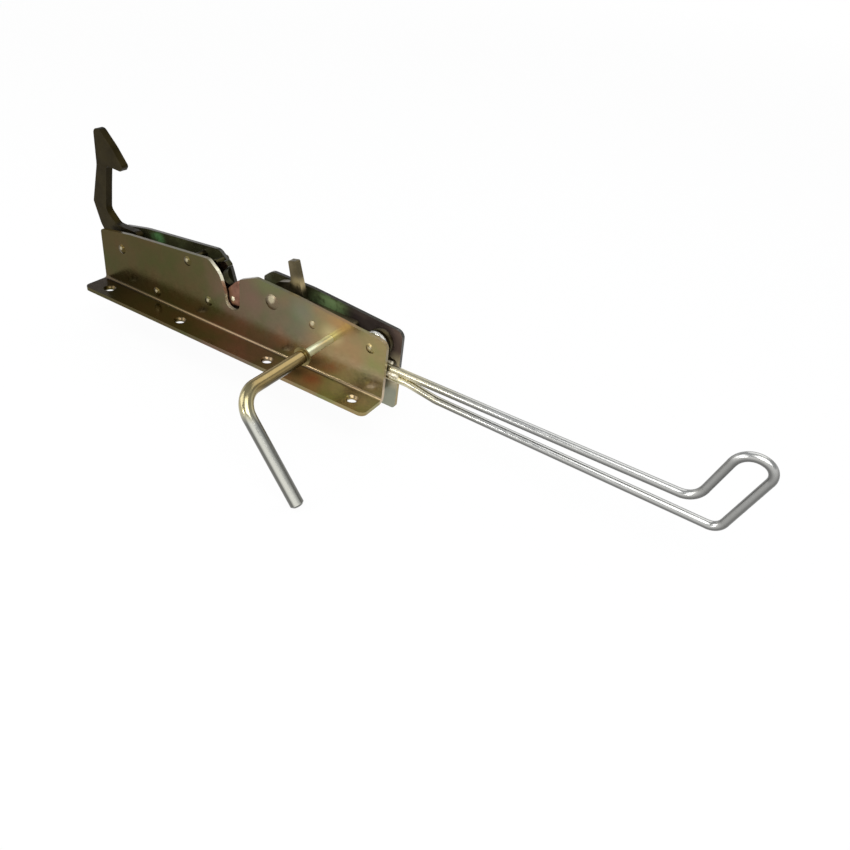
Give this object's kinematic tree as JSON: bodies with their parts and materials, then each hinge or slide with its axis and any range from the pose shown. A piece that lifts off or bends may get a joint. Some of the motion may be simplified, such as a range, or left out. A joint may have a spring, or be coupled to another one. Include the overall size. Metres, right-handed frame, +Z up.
{
  "type": "cab door latch",
  "caption": "Two-plate cab door latch with an open fork catch, a pawl with a release tab, a barbed hook, a bent rod handle and a long wire loop handle.",
  "frame": {"origin": "middle of the row of flange holes, on the lower face of the flange", "axes": "+X along the plates towards the wire handle, +Y from the flange to the back plate, +Z up from the flange"},
  "size_m": [0.5452, 0.1252, 0.1538],
  "materials": {
    "plate": "yellow zinc plated, satin",
    "mechanism": "yellow zinc plated, dark",
    "rod": "yellow zinc plated, glossy",
    "wire": "bright zinc plated",
    "weld": "plated weld bead",
    "rivet": "bright zinc plated",
    "spring": "bright spring steel"
  },
  "bodies": {
    "case": {"front_plate": "plate", "back_plate": "plate", "case_spacers": "rivet", "hook_pivot": "rivet", "catch_pivot": "rivet", "pawl_pivot": "rivet", "lever_pivot": "rivet", "spring_post": "rivet", "stop_studs": "rivet", "hook_spacers": "rivet", "catch_spacers": "rivet", "pawl_spacers": "rivet", "lever_spacers": "rivet", "shaft_bush": "rivet", "hook_spring": "spring", "catch_spring": "spring", "pawl_spring": "spring", "lever_spring": "spring"},
    "hook": {"hook": "mechanism"},
    "catch": {"catch": "mechanism", "catch_rivet": "rivet"},
    "pawl": {"pawl": "mechanism"},
    "rod_handle": {"handle_rod": "rod", "shoulder_washer": "mechanism", "shaft_cam": "mechanism", "cam_pin": "rivet", "shaft_clip": "rivet"},
    "wire_lever": {"handle_lever": "plate", "wire_handle": "wire", "handle_welds": "weld"},
    "link": {"link_rod": "rod"}
  },
  "joints": [
    {"name": "rod_turn", "type": "hinge", "parent": "case", "child": "rod_handle", "pos_m": [0.0905, 0.012, 0.0343], "axis": [0, -1, 0], "range_deg": [0, 30]},
    {"name": "pawl_swing", "type": "hinge", "parent": "case", "child": "pawl", "pos_m": [0.0379, 0.024, 0.0442], "axis": [0, -1, 0], "range_deg": [0, 5.4], "stiffness_Nm_per_rad": 0.1, "springref_deg": -17.19, "deforming": ["pawl_spring"]},
    {"name": "catch_turn", "type": "hinge", "parent": "case", "child": "catch", "pos_m": [-0.024, 0.024, 0.0222], "axis": [0, 1, 0], "range_deg": [0, 38], "stiffness_Nm_per_rad": 0.06, "springref_deg": -34.38, "deforming": ["catch_spring"]},
    {"name": "wire_lift", "type": "hinge", "parent": "case", "child": "wire_lever", "pos_m": [0.1245, 0.024, 0.0404], "axis": [0, -1, 0], "range_deg": [0, 16], "stiffness_Nm_per_rad": 0.5, "springref_deg": -28.65, "deforming": ["lever_spring"]},
    {"name": "hook_swing", "type": "hinge", "parent": "case", "child": "hook", "pos_m": [-0.1152, 0.024, 0.035], "axis": [0, -1, 0], "range_deg": [0, 16], "stiffness_Nm_per_rad": 0.1, "springref_deg": -17.19, "deforming": ["hook_spring"]},
    {"name": "link_pivot", "type": "hinge", "parent": "wire_lever", "child": "link", "pos_m": [0.1245, 0.024, 0.0024], "axis": [0, -1, 0], "range_deg": [-16, 0]}
  ],
  "couplings": [
    {"joint": "pawl_swing", "follows": "rod_turn", "ratio": 0.18},
    {"joint": "hook_swing", "follows": "wire_lift", "ratio": 1},
    {"joint": "link_pivot", "follows": "wire_lift", "ratio": -1}
  ]
}
